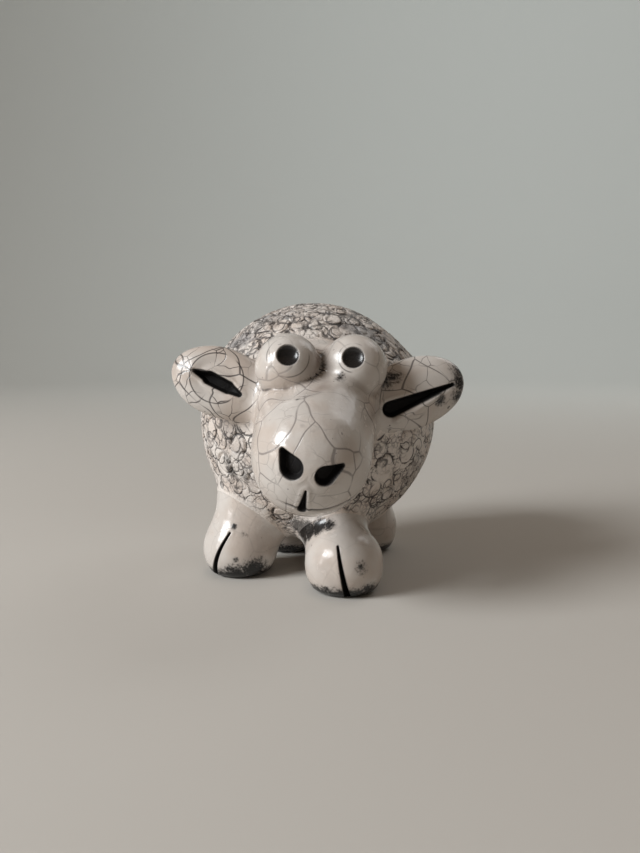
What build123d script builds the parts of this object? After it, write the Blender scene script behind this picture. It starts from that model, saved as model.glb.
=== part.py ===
from build123d import *

import os
from math import asin, cos, degrees, pi, radians, sin, sqrt

# Sheep figurine of clay pieces luted together, in millimetres and degrees.
# The body faces -Y, the sheep's left is +X, and the soles stand on z = 0.
# Azimuths turn from straight ahead to the sheep's left, elevations rise from level.

# Body: a hollow ball, a little drawn out from chest to rump, made of two bowls
body_radius = 25.8
body_stretch = 3.2
body_wall = 4.5
belly_height = 6.6
vent_diameter = 4.0

# Neck: a short stub on the breast that the head is pressed against
neck_azimuth = 16.0
neck_elevation_angle = 9.0
neck_radius = 11.6
neck_length = 3.0
neck_vent_diameter = 3.0

# Head: a tapered lump from the skull to the muzzle, hollowed from behind
skull_azimuth = 17.0
skull_elevation_angle = 14.0
skull_sink = 5.4
skull_radius = 12.3
head_azimuth = 12.0
head_pitch_angle = 27.0
head_length = 18.0
muzzle_radius = 11.0
head_wall = 5.0

# Eyes: balls set on the crown, each with a round pupil pit
eye_radius = 6.4
eye_sink = 0.8
eye_along_shares = {"right_eye": 0.17, "left_eye": 0.05}
eye_around_angles = {"right_eye": -27.0, "left_eye": 40.0}
pupil_radius = 2.05
pupil_angles = {"right_eye": (18.4, 23.5), "left_eye": (12.5, 20.3)}

# Ears: thick leaves on the sides of the head, each with one deep cut
ear_length = 21.0
ear_width = 14.0
ear_thickness = 6.8
ear_sink = 3.0
ear_along_share = 0.1
ear_around_angles = {"right_ear": -80.0, "left_ear": 94.0}
ear_way_angles = {"right_ear": (-80.0, 20.0), "left_ear": (111.0, 20.0)}
ear_face_azimuth = 16.0
ear_face_elevation_angle = 8.0
ear_cut_width = 2.2
ear_cut_depth = 2.6
ear_cut_length_shares = {"right_ear": 0.50, "left_ear": 0.72}
ear_cut_out_shares = {"right_ear": 0.09, "left_ear": 0.05}

# Nostrils: pressed teardrops with their points up and out
nostril_radius = 2.0
nostril_tip_radius = 0.5
nostril_angles = {"right": (-1.4, -2.3), "left": (29.8, -10.3)}
nostril_tip_angles = {"right": (-10.6, 12.1), "left": (45.8, -1.3)}

# Mouth: a short upright cut below the nostrils
mouth_cut_width = 1.1
mouth_cut_length = 5.6
mouth_cut_depth = 1.8
mouth_cut_angles = (8.0, -37.0)
mouth_cut_lean_angle = 14.0

# Legs: tapered stubs with a flat sole and a cut in front for the cloven hoof
foot_radius = 8.0
foot_height = 5.5
foot_place_shares = {
    "front_right_leg": (-0.51, -0.52),
    "front_left_leg": (0.45, -0.76),
    "rear_right_leg": (-0.37, 0.22),
    "rear_left_leg": (0.31, 0.40),
}
leg_root_radii = {
    "front_right_leg": 7.2,
    "front_left_leg": 5.6,
    "rear_right_leg": 5.6,
    "rear_left_leg": 5.6,
}
leg_root_drops = {
    "front_right_leg": 0.2,
    "front_left_leg": 1.4,
    "rear_right_leg": 1.4,
    "rear_left_leg": 1.4,
}
leg_root_shares = {
    "front_right_leg": 0.88,
    "front_left_leg": 0.6,
    "rear_right_leg": 0.6,
    "rear_left_leg": 0.6,
}
hoof_cut_azimuth_angles = {
    "front_right_leg": -15.0,
    "front_left_leg": 11.0,
    "rear_right_leg": -6.0,
    "rear_left_leg": 6.0,
}
hoof_cut_lean_angles = {
    "front_right_leg": 24.0,
    "front_left_leg": -11.0,
    "rear_right_leg": 8.0,
    "rear_left_leg": -8.0,
}
hoof_cut_width = 1.3
hoof_cut_length = 11.0
hoof_cut_depth = 2.4
hoof_cut_drop = 0.8

# Tail: a small lump on the rump
tail_root_radius = 4.0
tail_tip_radius = 2.6
tail_length = 6.0
tail_rise_angle = 22.0
tail_droop_angle = 35.0
tail_sink = 1.5

# Fleece: curls pressed all round the body with the end of a small tube
curl_radius = 2.1
curl_groove_radius = 0.6
curl_spacing = 7.6
curl_margin = 0.8
fleece_low_angle = -48.0

cut_overrun = 2.0


def direction(azimuth, elevation):
    """The unit vector at an azimuth and an elevation."""
    level = cos(radians(elevation))
    turn = radians(azimuth)
    return Vector(level * sin(turn), -level * cos(turn), sin(radians(elevation)))


def leaning(way, lean):
    """The unit vector square to a way that points up and leans to the way's left."""
    left = Vector(0, 0, 1).cross(way).normalized()
    up = way.cross(left)
    return up * cos(radians(lean)) + left * sin(radians(lean))


def lump_profile(length, start_radius, end_radius):
    """Half the outline of two balls and the cone that touches both, along +Y from the first."""
    lean = degrees(asin((start_radius - end_radius) / length))
    start_arc = CenterArc((0, 0), start_radius, -90, 90 + lean)
    end_arc = CenterArc((0, length), end_radius, lean, 90 - lean)
    side = Line(start_arc @ 1, end_arc @ 0)
    return make_face([start_arc, side, end_arc, Line(end_arc @ 1, start_arc @ 0)])


def lump(start, start_radius, end, end_radius):
    """A lump of clay rolled between the palms, from one rounded end to the other."""
    axis = end - start
    profile = Plane.XZ * lump_profile(axis.length, start_radius, end_radius)
    return Plane(origin=start, z_dir=axis) * revolve(profile, Axis.Z)


def ball(centre, radius):
    """A ball of clay."""
    return Pos(centre) * Sphere(radius)


def rod(start, way, radius, length):
    """A round rod from a point along a way."""
    from_start = (Align.CENTER, Align.CENTER, Align.MIN)
    return Plane(origin=start, z_dir=way) * Cylinder(radius, length, align=from_start)


def knife_cut(place, length, width, depth):
    """A cut with pointed ends, long along the place's x, that goes in against its z."""
    outline = place.offset(-depth) * Ellipse(length / 2, width / 2)
    return extrude(outline, depth + cut_overrun, dir=place.z_dir)


# Body
body_middle = belly_height + body_radius
chest_centre = Vector(0, -body_stretch / 2, body_middle)
rump_centre = Vector(0, body_stretch / 2, body_middle)
body_form = lump(chest_centre, body_radius, rump_centre, body_radius)
hollow_radius = body_radius - body_wall
wall_profile = lump_profile(body_stretch, body_radius, body_radius)
wall_profile -= lump_profile(body_stretch, hollow_radius, hollow_radius)
lower_bowl = Pos(chest_centre) * revolve(wall_profile, Axis.Y, 180)
upper_bowl = Pos(chest_centre) * revolve(wall_profile, Axis.Y, -180)
vent = rod(Vector(0, 0, 0), Vector(0, 0, 1), vent_diameter / 2, body_middle)

# Neck
neck_way = direction(neck_azimuth, neck_elevation_angle)
neck_reach = body_radius + neck_length
neck_form = rod(chest_centre, neck_way, neck_radius, neck_reach)
neck_vent = rod(chest_centre, neck_way, neck_vent_diameter / 2, neck_reach + cut_overrun)
pieces = {
    "upper_body_shell": upper_bowl - neck_vent,
    "lower_body_shell": lower_bowl - neck_vent - vent,
    "neck": neck_form - body_form - neck_vent,
}

# Head
skull_way = direction(skull_azimuth, skull_elevation_angle)
skull_centre = chest_centre + skull_way * (body_radius - skull_sink)
head_way = direction(head_azimuth, -head_pitch_angle)
head_left = direction(head_azimuth + 90, 0)
head_up = leaning(head_way, 0)
muzzle_centre = skull_centre + head_way * head_length
neck_face = Plane(origin=chest_centre + neck_way * neck_reach, z_dir=neck_way)
head_lump = lump(skull_centre, skull_radius, muzzle_centre, muzzle_radius)
head_form = split(head_lump, bisect_by=neck_face, keep=Keep.TOP)


def on_head(along, around, sink):
    """A point under the head's skin: around is measured from its crown to its left."""
    skin = skull_radius - (skull_radius - muzzle_radius) * along / head_length
    turn = radians(around)
    outward = head_up * cos(turn) + head_left * sin(turn)
    return skull_centre + head_way * along + outward * (skin - sink)


def on_muzzle(way):
    """The point of the muzzle's skin at an azimuth and an elevation."""
    return muzzle_centre + direction(*way) * muzzle_radius


hollow_end = skull_centre + head_way * (head_length / 2)
head = head_form - lump(skull_centre, skull_radius - head_wall, hollow_end, muzzle_radius - head_wall)
for side, way in nostril_angles.items():
    head -= lump(on_muzzle(way), nostril_radius, on_muzzle(nostril_tip_angles[side]), nostril_tip_radius)

cut_way = direction(*mouth_cut_angles)
cut_up = leaning(cut_way, mouth_cut_lean_angle)
cut_place = Plane(origin=on_muzzle(mouth_cut_angles), x_dir=cut_up, z_dir=cut_way)
pieces["head"] = head - knife_cut(cut_place, mouth_cut_length, mouth_cut_width, mouth_cut_depth)

# Eyes
placed_forms = [body_form, neck_form, head_form]
for name, around in eye_around_angles.items():
    centre = on_head(eye_along_shares[name] * head_length, around, eye_sink)
    eye_form = ball(centre, eye_radius)
    pupil_pit = ball(centre + direction(*pupil_angles[name]) * eye_radius, pupil_radius)
    pieces[name] = eye_form - placed_forms - pupil_pit
    placed_forms.append(eye_form)

# Ears
for name, around in ear_around_angles.items():
    way = direction(*ear_way_angles[name])
    root = on_head(ear_along_share * head_length, around, ear_sink)
    front = direction(ear_face_azimuth, ear_face_elevation_angle)
    place = Plane(origin=root + way * (ear_length / 2), x_dir=way, z_dir=front - way * front.dot(way))
    ear_form = place * scale(Sphere(1), by=(ear_length / 2, ear_width / 2, ear_thickness / 2))
    cut_place = Plane(place * Pos(ear_length * ear_cut_out_shares[name], 0, ear_thickness / 2))
    cut_length = ear_length * ear_cut_length_shares[name]
    ear_cut = knife_cut(cut_place, cut_length, ear_cut_width, ear_cut_depth)
    pieces[name] = ear_form - placed_forms - ear_cut
    placed_forms.append(ear_form)

# Legs
for name, (aside_share, along_share) in foot_place_shares.items():
    above = chest_centre if along_share < 0 else rump_centre
    foot = Vector(aside_share * body_radius, above.Y + along_share * body_radius, foot_height)
    root_share = leg_root_shares[name]
    depth_share = sqrt(1 - (aside_share * root_share) ** 2 - (along_share * root_share) ** 2)
    root_height = body_middle - body_radius * depth_share - leg_root_drops[name]
    root = Vector(foot.X * root_share, above.Y + along_share * body_radius * root_share, root_height)
    leg_lump = lump(foot, foot_radius, root, leg_root_radii[name])
    leg_form = split(leg_lump, bisect_by=Plane.XY, keep=Keep.TOP)
    cut_way = direction(hoof_cut_azimuth_angles[name], 0)
    cut_up = leaning(cut_way, hoof_cut_lean_angles[name])
    cut_origin = foot + cut_way * foot_radius - cut_up * hoof_cut_drop
    cut_place = Plane(origin=cut_origin, x_dir=cut_up, z_dir=cut_way)
    hoof_cut = knife_cut(cut_place, hoof_cut_length, hoof_cut_width, hoof_cut_depth)
    pieces[name] = leg_form - placed_forms - hoof_cut
    placed_forms.append(leg_form)

# Tail
rump_way = direction(180, tail_rise_angle)
tail_root = rump_centre + rump_way * (body_radius - tail_sink)
tail_tip = tail_root + direction(180, -tail_droop_angle) * tail_length
tail_form = lump(tail_root, tail_root_radius, tail_tip, tail_tip_radius)
pieces["tail"] = tail_form - placed_forms

# Fleece
placed_forms.append(tail_form)
golden_turn = 180 * (3 - sqrt(5))
curl_count = round(4 * pi * (body_radius / curl_spacing) ** 2)
curl_reach = curl_radius + curl_groove_radius
for number in range(curl_count):
    rise = degrees(asin(1 - (2 * number + 1) / curl_count))
    way = direction(number * golden_turn, rise)
    centre = chest_centre if way.Y < 0 else rump_centre
    spot = centre + way * body_radius
    clear = all(form.distance_to(Vertex(spot)) > curl_reach + curl_margin for form in placed_forms[1:])
    if rise < fleece_low_angle or not clear:
        continue
    ring_middle = centre + way * sqrt(body_radius**2 - curl_radius**2)
    curl = Plane(origin=ring_middle, z_dir=way) * Torus(curl_radius, curl_groove_radius)
    if spot.Z > body_middle - curl_reach:
        pieces["upper_body_shell"] -= curl
    if spot.Z < body_middle + curl_reach:
        pieces["lower_body_shell"] -= curl

# The origin is the middle of the box's underside
box = Compound(children=[Compound(piece.solids()) for piece in pieces.values()]).bounding_box()
to_origin = Pos(-box.center().X, -box.center().Y, -box.min.Z)
os.makedirs("parts", exist_ok=True)
for name, piece in pieces.items():
    export_step(to_origin * piece, f"parts/{name}.step")
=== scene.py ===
from collections import namedtuple
from math import cos, radians, sin

import bmesh
import bpy
import numpy as np
from mathutils import Matrix, Vector
from mathutils.kdtree import KDTree


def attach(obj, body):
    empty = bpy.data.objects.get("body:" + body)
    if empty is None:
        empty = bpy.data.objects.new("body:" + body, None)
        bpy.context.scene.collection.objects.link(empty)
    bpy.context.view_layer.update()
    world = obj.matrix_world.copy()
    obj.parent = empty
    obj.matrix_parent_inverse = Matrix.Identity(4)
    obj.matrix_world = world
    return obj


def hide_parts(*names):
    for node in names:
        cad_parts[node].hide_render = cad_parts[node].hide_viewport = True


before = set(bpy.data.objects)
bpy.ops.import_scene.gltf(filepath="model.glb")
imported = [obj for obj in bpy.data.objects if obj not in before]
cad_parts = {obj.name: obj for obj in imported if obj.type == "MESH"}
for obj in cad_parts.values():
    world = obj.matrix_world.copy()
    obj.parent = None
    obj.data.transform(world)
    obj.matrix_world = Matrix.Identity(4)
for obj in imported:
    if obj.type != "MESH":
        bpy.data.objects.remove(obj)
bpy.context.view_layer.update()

# The clay forms are in millimetres in the frame of the solids, the meshes in metres.
# Azimuths turn from straight ahead (-Y) to the sheep's left (+X), elevations rise from level.
MM = 0.001
Lump = namedtuple("Lump", "start start_radius end end_radius")
Leaf = namedtuple("Leaf", "middle length width thickness way front")
Press = namedtuple("Press", "start start_radius end end_radius way depth")


def direction(azimuth, elevation):
    """The unit vector at an azimuth and an elevation."""
    level = cos(radians(elevation))
    turn = radians(azimuth)
    return np.array([level * sin(turn), -level * cos(turn), sin(radians(elevation))])


def unit(vector):
    """A vector at length one."""
    return np.asarray(vector, float) / np.linalg.norm(vector)


# Body, head and tail
body_form = Lump((-4.023, 6.136, 32.4), 25.8, (-4.023, 9.336, 32.4), 25.8)
body_middle = 32.4
head_form = Lump((1.765, -12.794, 37.335), 12.3, (5.099, -28.481, 29.163), 11.0)
neck_face = np.array([3.818, -21.208, 36.905])
neck_way = direction(16.0, 9.0)
tail_form = Lump((-4.023, 31.866, 41.503), 4.0, (-4.023, 36.781, 38.061), 2.6)
dent_middle = np.array([13.6, 12.8, 52.1])
dent_reach = 11.0
dent_depth = 1.1

# Eyes
eye_radius = 6.4
eye_forms = {
    "right_eye": Lump((-1.729, -20.988, 44.9), eye_radius, (-1.73, -20.99, 44.9), eye_radius),
    "left_eye": Lump((9.948, -15.94, 44.732), eye_radius, (9.95, -15.94, 44.732), eye_radius),
}
pupil_radius = 2.15
pupil_depth = 1.25
pupil_ways = {"right_eye": direction(18.4, 23.5), "left_eye": direction(12.5, 20.3)}
eye_ring_reaches = {"right_eye": 4.2, "left_eye": 2.9}

# Brow: a soft valley between the eyes and under the right one
brow_path = [(3.8, -19.4, 48.1), (5.2, -22.9, 45.2), (3.7, -27.6, 42.6), (1.0, -28.1, 41.9)]
brow_reach = 3.2
brow_depth = 2.6
# The valley path below and its reach place only painted shade: brown colour down the valley between the eyes,
# where shade falls.
valley_shade_path = [(3.8, -19.4, 48.1), (5.2, -22.9, 45.2), (6.6, -27.2, 42.2)]
valley_shade_reach = 2.4

# Ears
ear_sizes = {"length": 21.0, "width": 14.0, "thickness": 6.8}
ear_forms = {
    "right_ear": Leaf((-16.302, -18.66, 41.528), way=direction(-80, 20), front=direction(16, 8), **ear_sizes),
    "left_ear": Leaf((20.197, -8.64, 39.539), way=direction(111, 20), front=direction(16, 8), **ear_sizes),
}
dish_ear = "right_ear"
dish_middle = np.array([0.8, -0.5])
dish_halves = np.array([5.4, 5.0])
dish_depth = 0.6

# Legs
foot_radius = 8.0
leg_forms = {
    "front_right_leg": Lump((-17.181, -7.28, 5.5), foot_radius, (-15.602, -5.671, 12.396), 7.2),
    "front_left_leg": Lump((7.587, -13.472, 5.5), foot_radius, (2.943, -5.629, 9.121), 5.6),
    "rear_right_leg": Lump((-13.569, 15.012, 5.5), foot_radius, (-9.75, 12.741, 6.075), 5.6),
    "rear_left_leg": Lump((3.975, 19.656, 5.5), foot_radius, (0.776, 15.528, 6.418), 5.6),
}

# How far the luted clay is smeared over each joint
leg_smears = {"front_right_leg": 6.0, "front_left_leg": 6.5, "rear_right_leg": 5.0, "rear_left_leg": 5.0}
head_smear = 2.2
ear_smear = 2.2
eye_smears = {"right_eye": 0.6, "left_eye": 1.8}
tail_smear = 2.5
sole_round = 1.2

# The fused skin: how fine it is, how far it lies under the solids, and what counts as far from a line
skin_voxel = 0.245
ball_fineness = 4
skin_inset = 0.06
least_inset = 0.02
far_away = 9.0
refine_reach = 0.8


# Distances from points, shape (n, 3), to the forms
def lump_gap(points, lump):
    """How far points lie outside two balls and the cone that touches both."""
    start = np.array(lump.start)
    axis = np.array(lump.end) - start
    length = np.linalg.norm(axis)
    axis = axis / length
    taper = (lump.start_radius - lump.end_radius) / length
    from_start = points - start
    along = from_start @ axis
    aside = np.linalg.norm(from_start - along[:, None] * axis, axis=1)
    at = np.clip(along - taper * aside / np.sqrt(1 - taper**2), 0, length)
    return np.hypot(aside, along - at) - (lump.start_radius - taper * at)


def leaf_axes(leaf):
    """The leaf's long, cross and front directions."""
    long = unit(leaf.way)
    front = unit(leaf.front - long * (leaf.front @ long))
    return np.array([long, np.cross(front, long), front])


def leaf_gap(points, leaf):
    """About how far points lie outside a leaf."""
    halves = np.array([leaf.length, leaf.width, leaf.thickness]) / 2
    local = (points - np.array(leaf.middle)) @ leaf_axes(leaf).T
    share = np.linalg.norm(local / halves, axis=1)
    steep = np.linalg.norm(local / halves**2, axis=1)
    return share * (share - 1) / np.maximum(steep, 1e-9)


def smear(one, other, width):
    """Two distances joined into one, with the crease between the forms filled over a width."""
    near = np.clip(1 - np.abs(one - other) / width, 0, None)
    return np.minimum(one, other) - near**2 * width / 4


def near_path(points, path, reach):
    """How near points are to a path, from 0 to 1 on it."""
    spans = [Lump(start, 0.0, end, 0.0) for start, end in zip(path, path[1:])]
    aside = np.minimum.reduce([lump_gap(points, span) for span in spans])
    return np.exp(-((aside / reach) ** 2))


def piece_gaps(points):
    """The distance to each form by the name of its node."""
    gaps = {"body": lump_gap(points, body_form), "tail": lump_gap(points, tail_form)}
    gaps["head"] = lump_gap(points, head_form) + brow_depth * near_path(points, brow_path, brow_reach)
    for name, form in {**eye_forms, **leg_forms}.items():
        gaps[name] = lump_gap(points, form)
    for name, form in ear_forms.items():
        gaps[name] = leaf_gap(points, form)
    return gaps


def skin_gap(points):
    """The distance to the whole clay skin, its joints smeared and its soles flat."""
    gaps = piece_gaps(points)
    gap = gaps["body"]
    for name in leg_forms:
        gap = smear(gap, gaps[name], leg_smears[name])
    gap = smear(gap, gaps["tail"], tail_smear)
    gap = smear(gap, gaps["head"], head_smear)
    for name in ear_forms:
        gap = smear(gap, gaps[name], ear_smear)
    for name in eye_forms:
        gap = smear(gap, gaps[name], eye_smears[name])
    return -smear(-gap, points[:, 2], sole_round)


def skin_slope(points, gap, step=0.01):
    """The outward slope of the skin's distance."""
    return np.stack([skin_gap(points + step * axis) - gap for axis in np.eye(3)], axis=1) / step


def settle(points, times=3, least_steep=0.05):
    """Points moved onto the skin."""
    for _ in range(times):
        gap = skin_gap(points)
        slope = skin_slope(points, gap)
        steep = np.maximum((slope**2).sum(axis=1), least_steep)
        points = points - (gap / steep)[:, None] * slope
    return points


# The skin
def add_ball(bm, middle, radius):
    """A fine ball."""
    place = Matrix.Translation(Vector(middle) * MM)
    bmesh.ops.create_icosphere(bm, subdivisions=ball_fineness, radius=radius * MM, matrix=place)


def add_lump(bm, lump):
    """A rolled lump: the hull of its two end balls."""
    ends = bmesh.new()
    add_ball(ends, lump.start, lump.start_radius)
    add_ball(ends, lump.end, lump.end_radius)
    bmesh.ops.delete(ends, geom=ends.edges[:], context="EDGES_FACES")
    bmesh.ops.convex_hull(ends, input=ends.verts[:])
    bmesh.ops.delete(ends, geom=[vert for vert in ends.verts if not vert.link_faces], context="VERTS")
    mesh = bpy.data.meshes.new("lump")
    ends.to_mesh(mesh)
    ends.free()
    bm.from_mesh(mesh)
    bpy.data.meshes.remove(mesh)


def add_leaf(bm, leaf):
    """A leaf: a ball drawn out along its three axes."""
    halves = np.array([leaf.length, leaf.width, leaf.thickness]) / 2 * MM
    turn = Matrix(leaf_axes(leaf).T.tolist()).to_4x4()
    place = Matrix.Translation(Vector(leaf.middle) * MM) @ turn @ Matrix.Diagonal((*halves, 1))
    bmesh.ops.create_icosphere(bm, subdivisions=ball_fineness, radius=1, matrix=place)


def fused_skin():
    """One closed mesh over all the forms, even enough to press patterns into."""
    bm = bmesh.new()
    for lump in (body_form, head_form, tail_form, *leg_forms.values()):
        add_lump(bm, lump)
    for ball in eye_forms.values():
        add_ball(bm, ball.start, ball.start_radius)
    for leaf in ear_forms.values():
        add_leaf(bm, leaf)
    mesh = bpy.data.meshes.new("clay_skin")
    bm.to_mesh(mesh)
    bm.free()
    skin = bpy.data.objects.new("clay_skin", mesh)
    bpy.context.scene.collection.objects.link(skin)
    remesh = skin.modifiers.new("even_skin", "REMESH")
    remesh.mode = "VOXEL"
    remesh.voxel_size = skin_voxel * MM
    depsgraph = bpy.context.evaluated_depsgraph_get()
    even = bpy.data.meshes.new_from_object(skin.evaluated_get(depsgraph))
    skin.modifiers.clear()
    skin.data = even
    return skin


def read_points(mesh):
    """A mesh's vertices in millimetres."""
    points = np.empty(len(mesh.vertices) * 3)
    mesh.vertices.foreach_get("co", points)
    return points.reshape(-1, 3) / MM


def write_points(mesh, points):
    """Sets a mesh's vertices from millimetres."""
    mesh.vertices.foreach_set("co", (points * MM).ravel())
    mesh.update()


def ramp(values, low, high):
    """A soft step from 0 at low to 1 at high."""
    share = np.clip((values - low) / (high - low), 0, 1)
    return share * share * (3 - 2 * share)


# Cuts pressed into the skin
nostril_depth = 1.9
mouth_angles = (8, -37)
mouth_lean = 14
mouth_cut_reaches = (2.6, 2.3)
mouth_cut_depth = 1.2
ear_cut_depth = 2.0
hoof_cut_ends = (-5.2, 5.0)
hoof_cut_radii = (0.7, 0.3)
hoof_cut_depth = 2.0
press_reach = 3.5
press_wall = 0.6
press_lip = 0.16
press_lip_place = 0.4
press_lip_width = 0.3
press_edge = 0.12
ear_lip_places = [(-5.0, -3.8), (-0.5, -3.1), (3.8, -2.2)]
ear_lip_reach = 0.75
ear_lip_height = 0.95
vent_middle = np.array([-4.023, 7.736, 6.6])
vent_radius = 2.0
vent_edge = 0.7
vent_depth = 3.0


def on_muzzle(azimuth, elevation):
    """A point on the muzzle's skin."""
    return np.array(head_form.end) + direction(azimuth, elevation) * head_form.end_radius


def leaning(way, lean):
    """The unit vector square to a way that points up and leans to the way's left."""
    left = unit(np.cross((0, 0, 1), way))
    return np.cross(way, left) * cos(radians(lean)) + left * sin(radians(lean))


def hoof_press(name, azimuth, lean):
    """The cloven cut in the front of a foot, wider at the sole."""
    foot = np.array(leg_forms[name].start)
    way = direction(azimuth, 0)
    front = foot + way * foot_radius
    low, high = (front + leaning(way, lean) * end for end in hoof_cut_ends)
    return Press(low, hoof_cut_radii[0], high, hoof_cut_radii[1], way, hoof_cut_depth)


def ear_press(name, inner, inner_radius, outer, outer_radius):
    """A long press in an ear's front: inner and outer are places along and across the leaf."""
    leaf = ear_forms[name]
    long, cross, front = leaf_axes(leaf)
    face = np.array(leaf.middle) + front * leaf.thickness / 2
    ends = [face + long * along + cross * across for along, across in (inner, outer)]
    return Press(ends[0], inner_radius, ends[1], outer_radius, front, ear_cut_depth)


def ear_face(name, along, across):
    """A point on an ear's front, at a place along and across the leaf."""
    leaf = ear_forms[name]
    long, cross, front = leaf_axes(leaf)
    share = 1 - (2 * along / leaf.length) ** 2 - (2 * across / leaf.width) ** 2
    rise = front * leaf.thickness / 2 * np.sqrt(share)
    return np.array(leaf.middle) + long * along + cross * across + rise


mouth_way = direction(*mouth_angles)
mouth_up = leaning(mouth_way, mouth_lean)
mouth_low = on_muzzle(*mouth_angles) - mouth_up * mouth_cut_reaches[0]
mouth_high = on_muzzle(*mouth_angles) + mouth_up * mouth_cut_reaches[1]
presses = [
    Press(on_muzzle(-1.4, -2.8), 2.2, on_muzzle(-10.8, 12.5), 0.6, direction(-5, 3), nostril_depth),
    Press(on_muzzle(29.8, -10.3), 1.9, on_muzzle(45.8, -1.3), 0.5, direction(37, -6), nostril_depth),
    Press(mouth_low, 0.85, mouth_high, 0.25, mouth_way, mouth_cut_depth),
    ear_press("right_ear", (2.2, 0.0), 1.5, (-2.0, 0.5), 1.4),
    ear_press("right_ear", (2.2, 0.0), 1.3, (5.4, -0.3), 0.45),
    ear_press("right_ear", (-2.0, 0.5), 1.3, (-4.6, 1.0), 0.6),
    ear_press("left_ear", (-5.6, -1.5), 1.65, (7.6, -1.2), 0.4),
    hoof_press("front_right_leg", -15, 24),
    hoof_press("front_left_leg", 11, -11),
    hoof_press("rear_right_leg", -6, 8),
    hoof_press("rear_left_leg", 6, -8),
]
ear_lip_path = [ear_face("left_ear", along, across) for along, across in ear_lip_places]


def press_gaps(points):
    """The distance to the outline of the nearest press, and the depth pressed in there."""
    nearest = np.full(len(points), far_away)
    depth = np.zeros(len(points))
    for press in presses:
        start = np.array(press.start)
        height = (points - start) @ press.way
        end = press.end - press.way * ((press.end - start) @ press.way)
        flat = Lump(start, press.start_radius, end, press.end_radius)
        gap = lump_gap(points - height[:, None] * press.way, flat)
        gap = np.where(np.abs(height) < press_reach, gap, far_away)
        nearest = np.minimum(nearest, gap)
        depth = np.maximum(depth, press.depth * ramp(-gap, 0, press_wall))
    for name, way in pupil_ways.items():
        aside = np.linalg.norm(points - np.array(eye_forms[name].start) - way * eye_radius, axis=1)
        nearest = np.minimum(nearest, aside - pupil_radius)
        bowl = np.sqrt(np.clip(1 - (aside / pupil_radius) ** 2, 0, None))
        depth = np.maximum(depth, pupil_depth * bowl)
    return nearest, depth


# Mouth line: part of a circle round the muzzle
mouth_axis = direction(28.7, 47.5)
mouth_reach = 99.0
mouth_ends = (-48.0, 88.0)
mouth_fades = (25.0, 12.0)
mouth_line_width = 0.4
mouth_line_depth = 0.45
mouth_line_band = (1.0, 2.0)


def mouth_line(points):
    """How strongly the mouth's curved line is pressed at points, from 0 to 1."""
    outward = points - np.array(head_form.end)
    reach = np.linalg.norm(outward, axis=1)
    angle = np.degrees(np.arccos(np.clip(outward @ mouth_axis / np.maximum(reach, 1e-9), -1, 1)))
    down = unit(np.array((0, 0, -1)) + mouth_axis * mouth_axis[2])
    left = np.cross(mouth_axis, down)
    turn = np.degrees(np.arctan2(outward @ left, outward @ down))
    aside = np.radians(np.abs(angle - mouth_reach)) * head_form.end_radius
    right_end = ramp(turn, mouth_ends[0], mouth_ends[0] + mouth_fades[0])
    left_end = ramp(-turn, -mouth_ends[1], -mouth_ends[1] + mouth_fades[1])
    off_skin = ramp(np.abs(reach - head_form.end_radius), *mouth_line_band)
    return np.exp(-((aside / mouth_line_width) ** 2)) * right_end * left_end * (1 - off_skin)


# Fleece: main curls evenly all round the body, and finer ones between them
main_curl_radius = 2.1
main_curl_groove = 0.6
main_curl_count = 145
main_curl_margin = 3.5
fleece_low_angle = -48.0
main_curl_steepness = 1.5
main_curl_dark = 0.9
curl_radius = (1.5, 2.3)
curl_spacing = 2.2
top_curl_spacing = 3.6
curl_line = 0.17
curl_step = 0.6
curl_depth = (0.2, 0.62)
curl_sway = 0.6
curl_stretch = (0.75, 1.0)
curl_edge = 0.35
curl_wipe = 0.65
line_wipe = 0.45
upper_rim_depth = 0.22
upper_rim_dark = 0.35
outside_step = 0.75
curl_lean = np.array((0.05, -0.1, 0))
fleece_seed = 7
leg_clearance = (1.2, 2.6)
head_clearance = (0.4, 1.4)
belly_heights = (7.2, 9.0)
flank_heights = (34.0, 46.0)
flank_share = 0.4
least_wool = 0.25
GOLDEN_TURN = 180 * (3 - 5**0.5)


def fleece_share(points, gaps):
    """How far the fleece covers the body at points: none by the neck, ears, legs and belly."""
    legs = np.minimum.reduce([gaps[name] for name in leg_forms])
    others = np.minimum.reduce([gaps[name] for name in ("head", *eye_forms, *ear_forms)])
    clear = ramp(legs, *leg_clearance) * ramp(others, *head_clearance)
    return clear * ramp(points[:, 2], *belly_heights)


def main_curl_spots():
    """The middles of the main curls on the body, clear of the pieces joined to it."""
    rises = np.degrees(np.arcsin(1 - (2 * np.arange(main_curl_count) + 1) / main_curl_count))
    ways = np.array([direction(number * GOLDEN_TURN, rise) for number, rise in enumerate(rises)])
    ends = np.where(ways[:, 1:2] < 0, body_form.start, body_form.end)
    spots = ends + ways * body_form.start_radius
    gaps = piece_gaps(spots)
    clear = np.minimum.reduce([gap for name, gap in gaps.items() if name != "body"]) > main_curl_margin
    return spots[clear & (rises >= fleece_low_angle)]


def flank_depth(height):
    """How deep the fine curls are at a height: shallow on the flanks, full on the back."""
    return flank_share + (1 - flank_share) * ramp(height, *flank_heights)


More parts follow.
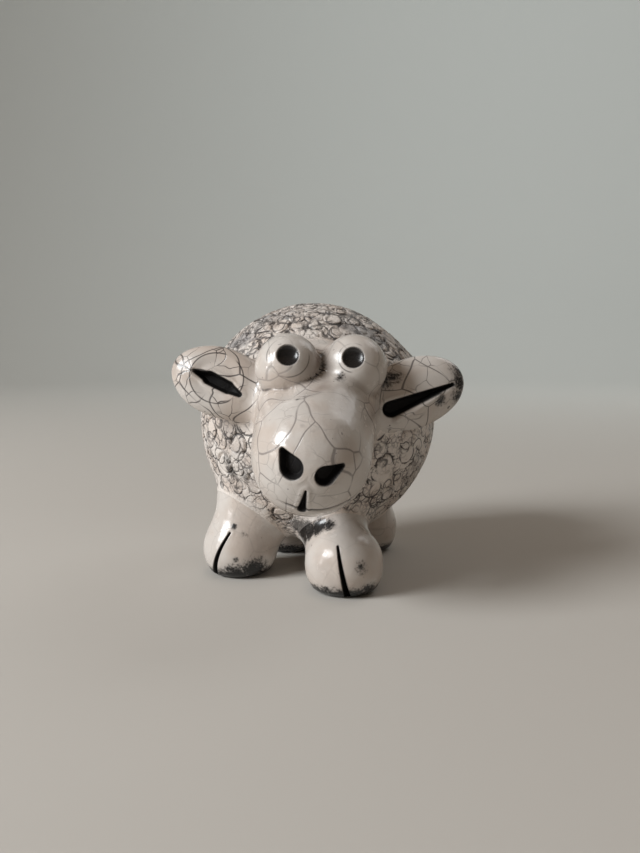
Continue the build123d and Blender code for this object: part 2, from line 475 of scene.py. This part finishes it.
class Fleece:
    """Curls pressed one after another: each wipes most of what it covers."""

    def __init__(self, points, normals, share):
        self.points = points
        self.normals = normals
        self.share = share
        self.depth = np.zeros(len(points))
        self.line = np.zeros(len(points))
        self.woolly = np.flatnonzero(share > least_wool)
        self.tree = KDTree(len(self.woolly))
        for index in self.woolly:
            self.tree.insert(points[index], index)
        self.tree.balance()

    def around(self, spot, reach):
        """The woolly points near a spot and their distances."""
        found = self.tree.find_range(spot, reach)
        near = np.fromiter((item[1] for item in found), int, len(found))
        return near, np.fromiter((item[2] for item in found), float, len(found))

    def lay(self, near, ring, radius, fresh, groove):
        """Lays a curl's groove over what is there."""
        inside = ramp(-ring, -radius, -radius + curl_edge)
        self.depth[near] = np.maximum(self.depth[near] * (1 - curl_wipe * inside), fresh)
        self.line[near] = np.maximum(self.line[near] * (1 - line_wipe * inside), groove)

    def press_fine(self, draws, spacing):
        """Fine curls at random, deeper on their lower side like overlapping scales."""
        covered = np.zeros(len(self.points), bool)
        for centre in draws.permutation(self.woolly):
            if covered[centre]:
                continue
            radius = draws.uniform(*curl_radius)
            strength = draws.uniform(*curl_depth)
            sway = draws.normal(0, curl_sway)
            stretch = draws.uniform(*curl_stretch)
            near, reach = self.around(self.points[centre], max(radius + 2 * curl_step, spacing))
            covered[near[reach < spacing]] = True
            normal = self.normals[centre]
            down = np.array((0, 0, -1.0)) + normal * normal[2] + np.cross(normal, (0, 0, 1)) * sway
            down = unit(down + curl_lean)
            across = np.cross(normal, down)
            offset = self.points[near] - self.points[centre]
            low = offset @ down
            ring = np.hypot(low, offset @ across / stretch)
            lower = 0.5 + 0.5 * low / np.maximum(ring, 1e-6)
            deep = strength * (upper_rim_depth + (1 - upper_rim_depth) * lower**1.5)
            deep = deep * flank_depth(self.points[centre, 2])
            outside = np.exp(-np.clip(ring - radius, 0, None) / curl_step) * (ring >= radius)
            groove = np.exp(-(((ring - radius) / curl_line) ** 2))
            # The groove's dark line: carbon in the groove, with painted shadow making it darker on the deep
            # lower side under the scale's edge.
            dark = groove * (upper_rim_dark + (1 - upper_rim_dark) * strength * lower / curl_depth[1])
            self.lay(near, ring, radius, deep * np.maximum(outside * outside_step, groove), dark)

    def press_main(self):
        """The main curls, as round grooves over the fine ones."""
        for spot in main_curl_spots():
            near, ring = self.around(spot, main_curl_radius + 2 * main_curl_groove)
            aside = np.abs(ring - main_curl_radius)
            fresh = np.sqrt(np.clip(main_curl_groove**2 - (main_curl_steepness * aside) ** 2, 0, None))
            dark = main_curl_dark * np.exp(-((aside / curl_line) ** 2))
            self.lay(near, ring, main_curl_radius, fresh, dark)


def press_curls(points, normals, share):
    """The depth and the dark line of the pressed fleece: carbon in the grooves, with painted shadow under the
    fine curls' lower rims.
    """
    fleece = Fleece(points, normals, share)
    draws = np.random.default_rng(fleece_seed)
    fleece.press_fine(draws, curl_spacing)
    fleece.press_main()
    fleece.press_fine(draws, top_curl_spacing)
    return fleece.depth * share, fleece.line * share


# Soot from the smoke: rubbed in at the soles, and marks at a place with a reach; the two marks by the left
# ear's joint and the darkening between the eyes are painted shade
sole_soot_heights = (0.6, 3.6)
soot_marks = [
    ((-3.4, -12.4, 10.6), 4.2, 2.0), ((-0.4, -13.4, 11.6), 3.0, 1.8), ((2.4, -14.2, 12.7), 2.8, 1.5),
    ((4.6, -14.8, 13.4), 2.2, 1.2), ((-12.0, -13.0, 1.6), 5.0, 1.3), ((-15.5, -14.4, 0.6), 4.4, 1.3),
    ((13.0, -17.5, 0.4), 4.0, 1.2), ((12.4, -19.6, 6.6), 2.2, 0.72), ((-13.8, -14.3, 10.0), 1.6, 0.8),
    ((-16.1, -13.6, 11.5), 1.0, 1.2), ((-15.2, -15.0, 4.7), 1.0, 1.0), ((28.8, -6.2, 43.8), 3.4, 0.9),
    # the marks at (15.4, -12.6, 42.0) and (17.0, -12.0, 43.0) are painted shade at the left ear's joint
    ((29.6, -6.8, 41.5), 3.4, 1.0), ((29.2, -7.2, 39.0), 3.0, 0.85), ((15.4, -12.6, 42.0), 3.0, 0.85),
    ((17.0, -12.0, 43.0), 2.6, 0.8), ((25.7, -9.9, 38.4), 1.8, 1.0), ((27.4, -7.2, 42.8), 0.8, 1.0),
    ((9.1, -23.2, 43.3), 1.7, 0.75), ((3.5, -31.8, 40.0), 0.8, 1.0), ((-17.1, -15.0, 25.6), 3.0, 0.8),
    ((-16.2, -14.0, 23.4), 3.0, 0.85), ((-12.6, -15.9, 22.2), 2.6, 0.7),
]
# painted shade: darkening in the narrow valley between the two eyes, carried on the soot share
eye_valley = 1.5
eye_valley_shade = 0.75


def soot_and_shade_share(points, gaps):
    """How sooty the skin is at points, from 0 to 1, with painted shade between the eyes and at the left ear's
    joint.
    """
    share = 1 - ramp(points[:, 2], *sole_soot_heights)
    for place, reach, strength in soot_marks:
        aside = np.linalg.norm(points - np.array(place), axis=1)
        share = np.maximum(share, np.clip(strength * (1 - aside / reach), 0, 1))
    # painted shade in the valley between the eyes
    valley = 1 - (gaps["right_eye"] + gaps["left_eye"]) / eye_valley
    return np.maximum(share, np.clip(valley, 0, eye_valley_shade))


# Lines in the glaze, kept as distances so that they stay thin between the mesh's points
crazing = {
    "head": 0.62, "right_eye": 0.45, "left_eye": 0.4, "right_ear": 1.0, "left_ear": 0.85,
    "front_right_leg": 0.24, "front_left_leg": 0.2, "rear_right_leg": 0.3, "rear_left_leg": 0.3,
    "body": 0.4, "tail": 0.4,
}
eye_skin = 0.8


def joint_line(gaps, names):
    """The distance from the joint round each of some pieces."""
    line = np.full(len(gaps["body"]), far_away)
    for name in names:
        rest = np.minimum.reduce([gap for other, gap in gaps.items() if other != name])
        aside = gaps[name] - rest
        line = np.where(np.abs(aside) < np.abs(line), aside, line)
    return line


def ear_dish(points):
    """The distance inside the edge of the dished ear's hollow, negative outside it."""
    leaf = ear_forms[dish_ear]
    local = (points - np.array(leaf.middle)) @ leaf_axes(leaf).T
    share = np.linalg.norm((local[:, :2] - dish_middle) / dish_halves, axis=1)
    inside = (1 - share) * dish_halves.mean()
    return np.where((local[:, 2] > 0) & (local[:, 2] < leaf.thickness), inside, -far_away)


def eye_ring(points):
    """The distance from the ring cracks round each pupil."""
    line = np.full(len(points), far_away)
    for name, way in pupil_ways.items():
        outward = points - np.array(eye_forms[name].start)
        on_eye = np.abs(np.linalg.norm(outward, axis=1) - eye_radius) < eye_skin
        ring = np.linalg.norm(outward - way * eye_radius, axis=1) - eye_ring_reaches[name]
        line = np.where(on_eye, ring, line)
    return line


def craze_share(gaps):
    """How strongly the glaze is crazed on the nearest piece."""
    names = list(gaps)
    nearest = np.argmin(np.stack([gaps[name] for name in names]), axis=0)
    return np.array([crazing[name] for name in names])[nearest]


# The shaped skin
wobble_seed = 3
wobble_lengths = (17.0, 13.0, 9.0, 7.0, 5.5)
waves_per_length = 3
wobble_flatness = 400
sole_edge = (0.02, 0.5)
press_blend = (0.1, 0.5)
dish_edge = (-0.3, 2.0)
lip_blend = (0.02, 0.3)
mouth_dark_band = (0.25, 0.8)
mouth_dark = 0.8


def hand_wobble(points):
    """The small unevenness of hand-rolled clay."""
    draws = np.random.default_rng(wobble_seed)
    wobble = np.zeros(len(points))
    for length in wobble_lengths:
        for _ in range(waves_per_length):
            wave = unit(draws.normal(size=3)) * 2 * np.pi / length
            wobble += np.sin(points @ wave + draws.uniform(0, 2 * np.pi)) * length
    return wobble / wobble_flatness


def refine(skin, points):
    """Splits the skin's faces round the presses and returns its new points."""
    nearest, _ = press_gaps(points)
    bm = bmesh.new()
    bm.from_mesh(skin.data)
    bm.verts.ensure_lookup_table()
    close = nearest <= refine_reach
    edges = [edge for edge in bm.edges if close[edge.verts[0].index] and close[edge.verts[1].index]]
    bmesh.ops.subdivide_edges(bm, edges=edges, cuts=1, use_grid_fill=True)
    bm.to_mesh(skin.data)
    bm.free()
    return settle(read_points(skin.data), times=2)


def add_share(mesh, name, values):
    """Keeps a number for each vertex, for the finishes to read."""
    layer = mesh.attributes.new(name, "FLOAT", "POINT")
    layer.data.foreach_set("value", values.astype(np.float32))


def skin_depth(points, nearest, depth, mouth, curl):
    """How far the shaped skin lies under the plain one at points."""
    lip = press_lip * np.exp(-(((nearest - press_lip_place) / press_lip_width) ** 2))
    uneven = (skin_inset - hand_wobble(points) - lip) * ramp(points[:, 2], *sole_edge)
    inset = uneven * (1 - ramp(depth, *press_blend)) + depth
    from_vent = np.linalg.norm(points - vent_middle, axis=1)
    vent = vent_depth * ramp(-from_vent, -vent_radius, -vent_radius + vent_edge)
    inset = inset + mouth * mouth_line_depth + curl + vent
    inset = inset + dish_depth * ramp(ear_dish(points), *dish_edge)
    from_dent = np.linalg.norm(points - dent_middle, axis=1)
    inset = inset + dent_depth * np.exp(-((from_dent / dent_reach) ** 2))
    ear_lip = ear_lip_height * near_path(points, ear_lip_path, ear_lip_reach) * (1 - ramp(depth, *lip_blend))
    return np.maximum(inset, least_inset) - ear_lip


def modelled_skin():
    """The fused skin with its cuts, curls and smoke marks."""
    skin = fused_skin()
    points = settle(read_points(skin.data))
    write_points(skin.data, points)
    points = refine(skin, points)
    normals = skin_slope(points, skin_gap(points))
    normals /= np.linalg.norm(normals, axis=1)[:, None]
    gaps = piece_gaps(points)
    woolly = fleece_share(points, gaps)
    curl, dark_curl_line_and_shadow = press_curls(points, normals, woolly)
    nearest, depth = press_gaps(points)
    mouth = mouth_line(points)
    write_points(skin.data, points - normals * skin_depth(points, nearest, depth, mouth, curl)[:, None])
    cut = ramp(-nearest, -press_edge, press_edge)
    shares = {
        "cut": np.maximum(cut, ramp(mouth, *mouth_dark_band) * mouth_dark),
        # carbon in the curl grooves, with painted shadow under the lower rims
        "curl_line": dark_curl_line_and_shadow,
        "fleece": woolly,
        # soot, with painted shade between the eyes and at the left ear's joint
        "soot": soot_and_shade_share(points, gaps),
        # painted shade down the valley between the eyes
        "valley": near_path(points, valley_shade_path, valley_shade_reach),
        "eye_crease": joint_line(gaps, eye_forms),
        "eye_joint": joint_line(gaps, ["right_eye"]),
        "ear_ring": ear_dish(points),
        "eye_ring": eye_ring(points),
        "crazing": craze_share(gaps),
    }
    for name, values in shares.items():
        add_share(skin.data, name, values)
    return skin


# Pieces
fleece_nodes = ("upper_body_shell", "lower_body_shell", "tail")
node_names = sorted(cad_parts)
rim_hair = 0.03
ear_core_depth = 1.0


def piece_of_faces(skin):
    """The number of the node that each face belongs to."""
    mesh = skin.data
    middles = np.empty(len(mesh.polygons) * 3)
    mesh.polygons.foreach_get("center", middles)
    middles = middles.reshape(-1, 3) / MM
    gaps = piece_gaps(middles)
    names = list(gaps)
    nearest = np.argmin(np.stack([gaps[name] for name in names]), axis=0)
    upper = middles[:, 2] > body_middle
    behind = (middles - neck_face) @ neck_way < 0
    number = {name: index for index, name in enumerate(node_names)}
    faces = np.empty(len(middles), int)
    for index, name in enumerate(names):
        mine = nearest == index
        if name == "body":
            faces[mine & upper] = number["upper_body_shell"]
            faces[mine & ~upper] = number["lower_body_shell"]
        elif name == "head":
            faces[mine & behind] = number["neck"]
            faces[mine & ~behind] = number["head"]
        else:
            faces[mine] = number[name]
    return faces


def form_core(name):
    """A point under a node's skin that its open joints are closed to."""
    if name in ear_forms:
        leaf = ear_forms[name]
        return np.array(leaf.middle) - leaf.way * (leaf.length / 2 - ear_core_depth)
    if name in leg_forms:
        return leg_forms[name].end
    if name == "neck":
        return head_form.start
    form = {**eye_forms, "tail": tail_form, "head": head_form}.get(name, body_form)
    return (np.array(form.start) + np.array(form.end)) / 2


def part_rims(bm):
    """Parts the open rims by a hair where two of them meet in one point."""
    for vert in bm.verts[:]:
        rims = [edge for edge in vert.link_edges if edge.is_boundary]
        if len(rims) > 2:
            for corner in bmesh.utils.vert_separate(vert, rims):
                corner.co = corner.co.lerp(corner.link_faces[0].calc_center_median(), rim_hair)


def close_piece(piece, core):
    """Closes the open joints of a piece towards its core, with the skin's smooth shading over them."""
    mesh = piece.data
    skin_normals = np.empty(len(mesh.vertices) * 3, np.float32)
    mesh.attributes["skin_normal"].data.foreach_get("vector", skin_normals)
    bm = bmesh.new()
    bm.from_mesh(mesh)
    part_rims(bm)
    rims = [edge for edge in bm.edges if edge.is_boundary]
    inner = bmesh.ops.extrude_edge_only(bm, edges=rims)["geom"]
    inner = [item for item in inner if isinstance(item, bmesh.types.BMVert)]
    bmesh.ops.pointmerge(bm, verts=inner, merge_co=Vector(core) * MM)
    bm.to_mesh(mesh)
    bm.free()
    normals = [vertex.normal for vertex in mesh.vertices]
    for index, normal in enumerate(skin_normals.reshape(-1, 3)):
        normals[index] = normal
    mesh.normals_split_custom_set_from_vertices(normals)
    mesh.attributes.remove(mesh.attributes["skin_normal"])


def separate_pieces(skin):
    """The skin cut into one piece for each node, still open at its joints."""
    marker = "_marker"
    mesh = skin.data
    faces = piece_of_faces(skin)
    mesh.polygons.foreach_set("use_smooth", np.ones(len(faces), bool))
    mesh.update()
    normals = np.empty(len(mesh.vertices) * 3, np.float32)
    mesh.vertex_normals.foreach_get("vector", normals)
    layer = mesh.attributes.new("skin_normal", "FLOAT_VECTOR", "POINT")
    layer.data.foreach_set("vector", normals)
    for name in node_names:
        mesh.materials.append(bpy.data.materials.new(name + marker))
    mesh.polygons.foreach_set("material_index", faces)
    bpy.ops.object.select_all(action="DESELECT")
    skin.select_set(True)
    bpy.context.view_layer.objects.active = skin
    bpy.ops.object.mode_set(mode="EDIT")
    bpy.ops.mesh.select_all(action="SELECT")
    bpy.ops.mesh.separate(type="MATERIAL")
    bpy.ops.object.mode_set(mode="OBJECT")
    pieces = {}
    for piece in bpy.context.selected_objects:
        name = piece.data.materials[0].name.removesuffix(marker)
        piece.name = f"{name}_clay"
        piece.data.name = f"{name}_clay"
        pieces[name] = piece
    return pieces


# Finishes
class Finish:
    """A node material whose parts are chained by short calls."""

    def __init__(self, name):
        self.material = bpy.data.materials.new(name)
        self.material.use_nodes = True
        self.nodes = self.material.node_tree.nodes
        self.links = self.material.node_tree.links
        self.shader = self.nodes["Principled BSDF"]
        self.place = self.nodes.new("ShaderNodeTexCoord").outputs["Object"]

    def put(self, socket, value):
        """Links a socket to another or sets it."""
        if isinstance(value, bpy.types.NodeSocket):
            self.links.new(value, socket)
        elif isinstance(value, tuple) and len(value) == 3 and socket.type == "RGBA":
            socket.default_value = (*value, 1)
        else:
            socket.default_value = value

    def share(self, name):
        """A number kept on the mesh."""
        node = self.nodes.new("ShaderNodeAttribute")
        node.attribute_name = name
        return node.outputs["Fac"]

    def noise(self, size, detail=2.0, colour=False):
        """Cloudy noise with patches about a size in millimetres."""
        node = self.nodes.new("ShaderNodeTexNoise")
        node.inputs["Scale"].default_value = 1 / (size * MM)
        node.inputs["Detail"].default_value = detail
        self.put(node.inputs["Vector"], self.place)
        return node.outputs["Color" if colour else "Fac"]

    def bent_place(self, size, amount, shift=0.0):
        """Object coordinates bent by noise and shifted, all in millimetres."""
        node = self.nodes.new("ShaderNodeVectorMath")
        node.operation = "MULTIPLY_ADD"
        self.put(node.inputs[0], self.noise(size, colour=True))
        node.inputs[1].default_value = (amount * MM,) * 3
        self.put(node.inputs[2], self.place)
        moved = self.nodes.new("ShaderNodeVectorMath")
        self.put(moved.inputs[0], node.outputs["Vector"])
        moved.inputs[1].default_value = (shift * MM,) * 3
        return moved.outputs["Vector"]

    def cells(self, size, feature, place):
        """The distance across scattered cells about a size in millimetres."""
        node = self.nodes.new("ShaderNodeTexVoronoi")
        node.feature = feature
        node.inputs["Scale"].default_value = 1 / (size * MM)
        self.put(node.inputs["Vector"], place)
        return self.times(node.outputs["Distance"], size)

    def cracks(self, size, width, place):
        """Thin lines between cells, 1 on the line."""
        return self.thin(self.cells(size, "DISTANCE_TO_EDGE", place), width)

    def rings(self, size, radius, width, place):
        """Thin rings and arcs round scattered middles, 1 on the line."""
        aside = self.reckon("SUBTRACT", self.cells(size, "F1", place), radius)
        return self.thin(self.reckon("ABSOLUTE", aside), width)

    def thin(self, gap, width):
        """1 where a distance in millimetres is much less than a width, fading to 0 at it."""
        return self.step(gap, width, width * 0.25)

    def height(self):
        """The height above the table in millimetres."""
        node = self.nodes.new("ShaderNodeSeparateXYZ")
        self.put(node.inputs[0], self.place)
        return self.reckon("DIVIDE", node.outputs["Z"], MM)

    def step(self, value, low, high):
        """A soft step from 0 at low to 1 at high."""
        node = self.nodes.new("ShaderNodeMapRange")
        node.interpolation_type = "SMOOTHSTEP"
        self.put(node.inputs["Value"], value)
        self.put(node.inputs["From Min"], low)
        self.put(node.inputs["From Max"], high)
        return node.outputs["Result"]

    def ragged(self, value, low, high):
        """A step with a ragged edge, from 0 at low to 1 at high; none where the value is 0."""
        rough = self.reckon("ADD", self.noise(0.45, 3), self.noise(1.8, 4))
        rough = self.reckon("SUBTRACT", rough, 1.0)
        torn = self.reckon("MULTIPLY_ADD", rough, self.step(value, 0.0, 0.3), value)
        return self.step(torn, low, high)

    def reckon(self, operation, one, other=0.0, third=0.0):
        """Two or three numbers combined."""
        node = self.nodes.new("ShaderNodeMath")
        node.operation = operation
        for socket, value in zip(node.inputs, (one, other, third)):
            self.put(socket, value)
        return node.outputs["Value"]

    def times(self, one, other):
        """Two numbers multiplied."""
        return self.reckon("MULTIPLY", one, other)

    def most(self, one, other):
        """The larger of two numbers."""
        return self.reckon("MAXIMUM", one, other)

    def patches(self, size, low, high, detail=2.0):
        """Soft patches of noise about a size in millimetres, from 0 below low to 1 above high."""
        return self.step(self.noise(size, detail), low, high)

    def line(self, name, width):
        """1 where a distance kept on the mesh is about 0, fading out over a width in millimetres."""
        return self.thin(self.reckon("ABSOLUTE", self.share(name)), width)

    def mix(self, share, one, other):
        """One colour turned into the other by a share."""
        node = self.nodes.new("ShaderNodeMix")
        node.data_type = "RGBA"
        self.put(node.inputs["Factor"], share)
        self.put(node.inputs[6], one)
        self.put(node.inputs[7], other)
        return node.outputs[2]

    def bump(self, height, distance, strength=1.0, below=None):
        """Fine relief, its height in millimetres."""
        node = self.nodes.new("ShaderNodeBump")
        node.inputs["Strength"].default_value = strength
        node.inputs["Distance"].default_value = distance * MM
        self.put(node.inputs["Height"], height)
        if below is not None:
            self.put(node.inputs["Normal"], below)
        return node.outputs["Normal"]


pale_glaze = (0.58, 0.535, 0.495)
pink_glaze = (0.53, 0.455, 0.40)
crack_grey = (0.16, 0.14, 0.135)
# painted shade: the brown laid into the creases round the eyes and down the valley between them
painted_crease_shade = (0.20, 0.15, 0.12)
smoke_grey = (0.2, 0.19, 0.185)
soot_black = (0.012, 0.011, 0.011)
wool_pale = (0.70, 0.64, 0.59)
wool_pink = (0.62, 0.53, 0.465)
wool_smoke = (0.24, 0.235, 0.24)
wool_line = (0.035, 0.03, 0.03)


def crackle_lines(glaze, craze):
    """Wide and fine cracks and a few specks, 1 on them, by how far a piece is crazed."""
    wide = glaze.cracks(size=9.0, width=0.19, place=glaze.bent_place(size=16, amount=7.0))
    wide = glaze.times(wide, glaze.patches(size=9, low=0.28, high=0.46))
    wide = glaze.times(wide, glaze.step(craze, 0.0, 0.7))
    fine = glaze.cracks(size=4.2, width=0.12, place=glaze.bent_place(size=5, amount=3.0))
    fine = glaze.times(fine, glaze.patches(size=6, low=0.38, high=0.6))
    fine = glaze.times(fine, glaze.step(craze, 0.3, 1.0))
    specks = glaze.patches(size=1.1, low=0.75, high=0.79, detail=1)
    return glaze.most(glaze.most(wide, fine), specks)


def ring_cracks(glaze):
    """The ring cracks in the dished ear and round the pupils."""
    ear = glaze.times(glaze.line("ear_ring", width=0.2), glaze.patches(size=4, low=0.33, high=0.5))
    eyes = glaze.times(glaze.line("eye_ring", width=0.2), glaze.patches(size=5, low=0.46, high=0.62))
    return glaze.most(glaze.times(ear, 0.85), glaze.times(eyes, 0.6))


def eye_creases(glaze, colour):
    """A colour with painted shade, brown, in the creases round the eyes and down the valley between them, and
    dark at the right eye's joint.
    """
    # painted shade in the creases round the eyes and down the valley between them
    eye_crease_shade = glaze.times(glaze.line("eye_crease", width=1.1), 0.3)
    crease_and_valley_shade = glaze.most(eye_crease_shade, glaze.times(glaze.share("valley"), 0.8))
    colour = glaze.mix(crease_and_valley_shade, colour, painted_crease_shade)
    joint = glaze.times(glaze.line("eye_joint", width=0.4), glaze.patches(size=4, low=0.3, high=0.55))
    return glaze.mix(glaze.times(joint, 0.85), colour, wool_line)


def smoke_soot_and_shade(glaze, colour):
    """A colour under a haze of smoke and ragged soot; the soot share also carries painted shade between the
    eyes and at the left ear's joint, and the haze follows it.
    """
    soot = glaze.share("soot")
    clouds = glaze.times(glaze.patches(size=8, low=0.52, high=0.85, detail=4), 0.25)
    haze = glaze.most(glaze.times(glaze.step(soot, 0.0, 0.9), 0.45), clouds)
    colour = glaze.mix(haze, colour, smoke_grey)
    return glaze.mix(glaze.ragged(soot, 0.15, 0.85), colour, soot_black)


def crackle_glaze():
    """Clear crazed glaze over pinkish clay, black and dull in the cuts."""
    glaze = Finish("crackle_glaze")
    craze = glaze.share("crazing")
    colour = glaze.mix(glaze.patches(size=9, low=0.38, high=0.66, detail=3), pale_glaze, pink_glaze)
    crack = crackle_lines(glaze, craze)
    crack_colour = glaze.mix(glaze.step(craze, 0.5, 1.0), crack_grey, wool_line)
    crack_share = glaze.times(crack, glaze.reckon("MULTIPLY_ADD", craze, 0.5, 0.35))
    colour = glaze.mix(crack_share, colour, crack_colour)
    colour = glaze.mix(ring_cracks(glaze), colour, wool_line)
    # painted shade, brown, in the eye creases and the valley between the eyes
    colour = eye_creases(glaze, colour)
    # smoke and soot, with the painted shade between the eyes and at the left ear's joint
    colour = smoke_soot_and_shade(glaze, colour)
    cut = glaze.share("cut")
    glaze.put(glaze.shader.inputs["Base Color"], glaze.mix(cut, colour, soot_black))
    off_pupil = glaze.step(glaze.share("eye_ring"), -0.75, -0.6)
    dull = glaze.times(cut, off_pupil)
    glaze.put(glaze.shader.inputs["Specular IOR Level"], glaze.reckon("MULTIPLY_ADD", dull, -0.38, 0.5))
    rough = glaze.patches(size=2.5, low=-0.6, high=3.0, detail=3)
    glaze.put(glaze.shader.inputs["Roughness"], glaze.most(rough, glaze.times(dull, 0.55)))
    uneven = glaze.bump(glaze.noise(2.2, 2), distance=0.25, strength=0.5)
    ridge = glaze.reckon("SUBTRACT", 1.0, crack)
    relief = glaze.bump(ridge, distance=0.05, strength=0.5, below=uneven)
    glaze.put(glaze.shader.inputs["Normal"], relief)
    return glaze.material


def curl_arcs(wool):
    """Thin arcs of drawn curls in three sizes, patchy and overlapping."""
    small = wool.rings(size=4.6, radius=1.75, width=0.22, place=wool.bent_place(size=4, amount=1.2))
    small = wool.times(small, wool.patches(size=5, low=0.35, high=0.55))
    tight = wool.rings(size=3.6, radius=1.4, width=0.2, place=wool.bent_place(size=3, amount=1.0, shift=11.3))
    tight = wool.times(tight, wool.patches(size=4, low=0.4, high=0.6))
    large = wool.rings(size=5.2, radius=2.1, width=0.2, place=wool.bent_place(size=4, amount=1.0, shift=23.7))
    large = wool.times(large, wool.patches(size=6, low=0.42, high=0.58))
    return wool.most(wool.most(small, tight), large)


def fleece_lines(wool, high):
    """The dark lines of the fleece: arcs, edges on the back and the pressed curls, whose lines carry painted
    shadow under their lower rims.
    """
    edges = wool.cracks(size=3.5, width=0.42, place=wool.bent_place(size=1.5, amount=1.3, shift=5.0))
    edges = wool.times(edges, wool.patches(size=2.5, low=0.3, high=0.6, detail=3))
    edges = wool.times(edges, high)
    # the pressed curls' lines: carbon, with painted shadow under their lower rims
    pressed = wool.times(wool.share("curl_line"), wool.patches(size=3.2, low=0.3, high=0.6, detail=3))
    drawn = wool.most(wool.times(curl_arcs(wool), 0.85), edges)
    return wool.times(wool.most(drawn, wool.step(pressed, 0.1, 0.5)), wool.share("fleece"))


def fleece_glaze():
    """Thin glaze over pressed curls, smoked grey in patches and dark in the lines, with painted shadow under
    the curls' lower rims.
    """
    wool = Finish("fleece_glaze")
    high = wool.step(wool.height(), 38.0, 50.0)
    colour = wool.mix(wool.patches(size=6, low=0.4, high=0.65, detail=3), wool_pale, wool_pink)
    smoke = wool.patches(size=9, low=0.5, high=0.72, detail=4)
    smoke = wool.times(smoke, wool.reckon("MULTIPLY_ADD", high, 0.4, 0.3))
    colour = wool.mix(smoke, colour, wool_smoke)
    fine = wool.cracks(size=1.2, width=0.15, place=wool.bent_place(size=1.0, amount=0.9))
    fine = wool.times(fine, wool.patches(size=3, low=0.42, high=0.62, detail=3))
    fine = wool.times(fine, wool.share("fleece"))
    colour = wool.mix(wool.times(fine, 0.6), colour, crack_grey)
    dark = fleece_lines(wool, high)
    colour = wool.mix(wool.times(dark, 0.92), colour, wool_line)
    # soot, from the same share that carries painted shade by the eyes and the left ear
    soot = wool.ragged(wool.share("soot"), 0.2, 0.95)
    colour = wool.mix(wool.times(soot, 0.85), colour, soot_black)
    colour = wool.mix(wool.share("cut"), colour, soot_black)
    wool.put(wool.shader.inputs["Base Color"], colour)
    wool.put(wool.shader.inputs["Roughness"], wool.patches(size=2.0, low=-0.8, high=2.0, detail=3))
    grain = wool.bump(wool.noise(0.4, 4), distance=0.2, strength=0.8)
    ridge = wool.reckon("SUBTRACT", 1.0, dark)
    relief = wool.bump(ridge, distance=0.2, strength=0.7, below=grain)
    wool.put(wool.shader.inputs["Normal"], relief)
    return wool.material


# Stage, in metres
floor_radius = 1.6
wall_height = 1.5
cove_radius = 0.8
cove_segments = 16
floor_steps = 96
floor_colour = (0.52, 0.49, 0.45)
floor_roughness = 0.9
room_colour = (0.92, 0.69, 0.5, 1)
room_strength = 0.2
camera_place = (0.046077, -0.165564, 0.05)
camera_azimuth = 16
camera_dip = 6.17
camera_lens = 33.76
camera_clip = 0.01


def lay_stage():
    """A plain pale floor that sweeps up into a round wall."""
    bm = bmesh.new()
    corners = ((0, 0, 0), (floor_radius, 0, 0), (floor_radius, 0, wall_height))
    profile = [bm.verts.new(place) for place in corners]
    for pair in zip(profile, profile[1:]):
        bm.edges.new(pair)
    bmesh.ops.bevel(bm, geom=[profile[1]], offset=cove_radius, offset_type="OFFSET", segments=cove_segments,
                    profile=0.5, affect="VERTICES", material=-1)
    bmesh.ops.spin(bm, geom=bm.verts[:] + bm.edges[:], axis=(0, 0, 1), cent=(0, 0, 0), angle=radians(360),
                   steps=floor_steps, use_merge=True)
    bmesh.ops.remove_doubles(bm, verts=bm.verts, dist=MM)
    bmesh.ops.recalc_face_normals(bm, faces=bm.faces)
    mesh = bpy.data.meshes.new("floor")
    bm.to_mesh(mesh)
    bm.free()
    mesh.polygons.foreach_set("use_smooth", np.ones(len(mesh.polygons), bool))
    floor = bpy.data.objects.new("floor", mesh)
    bpy.context.scene.collection.objects.link(floor)
    paint = Finish("floor_paint")
    paint.put(paint.shader.inputs["Base Color"], floor_colour)
    paint.put(paint.shader.inputs["Roughness"], floor_roughness)
    mesh.materials.append(paint.material)


def add_lamp(name, place, aim, size, power, colour=(1, 1, 1)):
    """A square soft lamp that looks at a point, its place and size in metres."""
    lamp = bpy.data.lights.new(name, "AREA")
    lamp.size = size
    lamp.energy = power
    lamp.color = colour
    holder = bpy.data.objects.new(name, lamp)
    holder.location = place
    holder.rotation_euler = (Vector(aim) - Vector(place)).to_track_quat("-Z", "Y").to_euler()
    bpy.context.scene.collection.objects.link(holder)


def light_scene():
    """Soft light from a window on the left, a lit wall and an even warm room."""
    sheep = (0, 0, 0.03)
    back_wall = (0.0, floor_radius, 0.5)
    add_lamp("window", (-0.50, -0.46, 0.42), sheep, size=0.32, power=6.8, colour=(0.95, 0.98, 1.0))
    add_lamp("table_glow", (-0.48, -0.36, 0.06), sheep, size=0.09, power=0.4)
    add_lamp("back_window", (0.32, 0.48, 0.6), sheep, size=0.4, power=0.85)
    add_lamp("wall_light", (0.0, 0.5, 1.0), back_wall, size=0.5, power=8.2, colour=(0.76, 0.92, 1.0))
    world = bpy.data.worlds.new("room")
    world.use_nodes = True
    background = world.node_tree.nodes["Background"]
    background.inputs["Color"].default_value = room_colour
    background.inputs["Strength"].default_value = room_strength
    bpy.context.scene.world = world


def place_camera():
    """The photograph's viewpoint."""
    camera = bpy.data.cameras.new("camera")
    camera.lens = camera_lens
    camera.clip_start = camera_clip
    holder = bpy.data.objects.new("camera", camera)
    holder.location = camera_place
    holder.rotation_euler = (radians(90 - camera_dip), 0, radians(camera_azimuth))
    bpy.context.scene.collection.objects.link(holder)
    bpy.context.scene.camera = holder


pieces = separate_pieces(modelled_skin())
finishes = {"fleece_glaze": fleece_glaze(), "crackle_glaze": crackle_glaze()}
for name, piece in pieces.items():
    slot = "fleece_glaze" if name in fleece_nodes else "crackle_glaze"
    close_piece(piece, form_core(name))
    piece.data.materials.clear()
    piece.data.materials.append(finishes[slot])
    piece.data.polygons.foreach_set("material_index", np.zeros(len(piece.data.polygons), int))
    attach(piece, "root")
    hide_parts(name)

lay_stage()
light_scene()
place_camera()
bpy.context.scene.view_settings.view_transform = "Standard"
